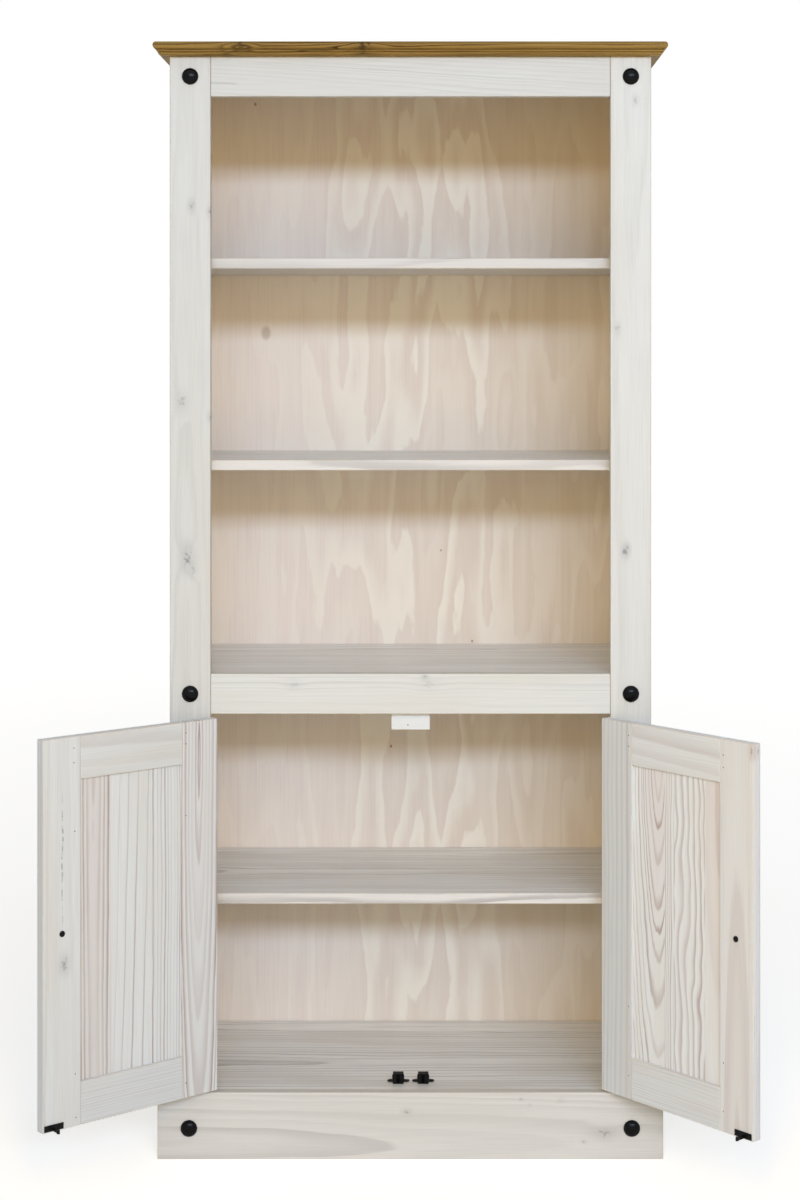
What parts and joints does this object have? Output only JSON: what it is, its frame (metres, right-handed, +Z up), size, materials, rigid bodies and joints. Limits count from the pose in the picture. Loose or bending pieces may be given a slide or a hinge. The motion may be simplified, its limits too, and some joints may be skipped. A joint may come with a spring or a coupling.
{
  "type": "bookcase",
  "caption": "Tall waxed-pine bookcase: moulded top, face frame, open shelves, and a cupboard below with framed doors on butt hinges, roller catches, iron studs and a plinth.",
  "frame": {"origin": "on the floor, under the middle of the front plinth board", "axes": "+Z up, +X to the right as seen from the front, +Y into the case towards the wall"},
  "size_m": [1.1494, 0.664, 1.88],
  "materials": {
    "white_wax_pine": "white-washed and waxed solid pine, grain showing",
    "golden_wax_pine": "golden-brown waxed solid pine",
    "washed_plywood": "thinly white-washed rotary-cut plywood",
    "black_iron": "black-painted iron, satin",
    "black_steel": "black-lacquered pressed steel",
    "black_nylon": "moulded black nylon"
  },
  "bodies": {
    "case": {"top_board": "golden_wax_pine", "left_side_panel": "white_wax_pine", "right_side_panel": "white_wax_pine", "left_face_stile": "white_wax_pine", "right_face_stile": "white_wax_pine", "top_face_rail": "white_wax_pine", "middle_face_rail": "white_wax_pine", "back_panel": "washed_plywood", "middle_shelf": "white_wax_pine", "bottom_board": "white_wax_pine", "high_shelf": "white_wax_pine", "low_shelf": "white_wax_pine", "cupboard_shelf": "white_wax_pine", "left_high_cleat": "white_wax_pine", "right_high_cleat": "white_wax_pine", "left_low_cleat": "white_wax_pine", "right_low_cleat": "white_wax_pine", "left_cupboard_cleat": "white_wax_pine", "right_cupboard_cleat": "white_wax_pine", "plinth_front": "white_wax_pine", "plinth_left": "white_wax_pine", "plinth_right": "white_wax_pine", "plinth_rear": "white_wax_pine", "door_stop_block": "white_wax_pine", "left_top_stud": "black_iron", "right_top_stud": "black_iron", "left_middle_stud": "black_iron", "right_middle_stud": "black_iron", "left_plinth_stud": "black_iron", "right_plinth_stud": "black_iron", "left_upper_hinge_frame_leaf": "black_steel", "left_lower_hinge_frame_leaf": "black_steel", "right_upper_hinge_frame_leaf": "black_steel", "right_lower_hinge_frame_leaf": "black_steel", "left_catch": "black_nylon", "right_catch": "black_nylon"},
    "left_door": {"left_door_hinge_stile": "white_wax_pine", "left_door_meeting_stile": "white_wax_pine", "left_door_top_rail": "white_wax_pine", "left_door_bottom_rail": "white_wax_pine", "left_door_panel": "white_wax_pine", "left_knob": "black_iron", "left_knob_screw": "black_steel", "left_strike": "black_steel", "left_upper_hinge_door_leaf": "black_steel", "left_lower_hinge_door_leaf": "black_steel"},
    "right_door": {"right_door_hinge_stile": "white_wax_pine", "right_door_meeting_stile": "white_wax_pine", "right_door_top_rail": "white_wax_pine", "right_door_bottom_rail": "white_wax_pine", "right_door_panel": "white_wax_pine", "right_knob": "black_iron", "right_knob_screw": "black_steel", "right_strike": "black_steel", "right_upper_hinge_door_leaf": "black_steel", "right_lower_hinge_door_leaf": "black_steel"},
    "left_inner_roller": {"left_catch_inner_roller": "black_nylon"},
    "left_outer_roller": {"left_catch_outer_roller": "black_nylon"},
    "right_inner_roller": {"right_catch_inner_roller": "black_nylon"},
    "right_outer_roller": {"right_catch_outer_roller": "black_nylon"}
  },
  "joints": [
    {"name": "left_door_hinge", "type": "hinge", "parent": "case", "child": "left_door", "pos_m": [-0.337, 0.006, 0.4295], "axis": [0, 0, -1], "range_deg": [-140, 35]},
    {"name": "right_door_hinge", "type": "hinge", "parent": "case", "child": "right_door", "pos_m": [0.337, 0.006, 0.4295], "axis": [0, 0, 1], "range_deg": [-131, 44]},
    {"name": "left_inner_roller_spin", "type": "hinge", "parent": "case", "child": "left_inner_roller", "pos_m": [-0.01545, 0.0378, 0.1208], "axis": [0, 0, 1], "continuous": true},
    {"name": "left_outer_roller_spin", "type": "hinge", "parent": "case", "child": "left_outer_roller", "pos_m": [-0.02705, 0.0378, 0.1208], "axis": [0, 0, 1], "continuous": true},
    {"name": "right_inner_roller_spin", "type": "hinge", "parent": "case", "child": "right_inner_roller", "pos_m": [0.01545, 0.0378, 0.1208], "axis": [0, 0, 1], "continuous": true},
    {"name": "right_outer_roller_spin", "type": "hinge", "parent": "case", "child": "right_outer_roller", "pos_m": [0.02705, 0.0378, 0.1208], "axis": [0, 0, 1], "continuous": true}
  ]
}
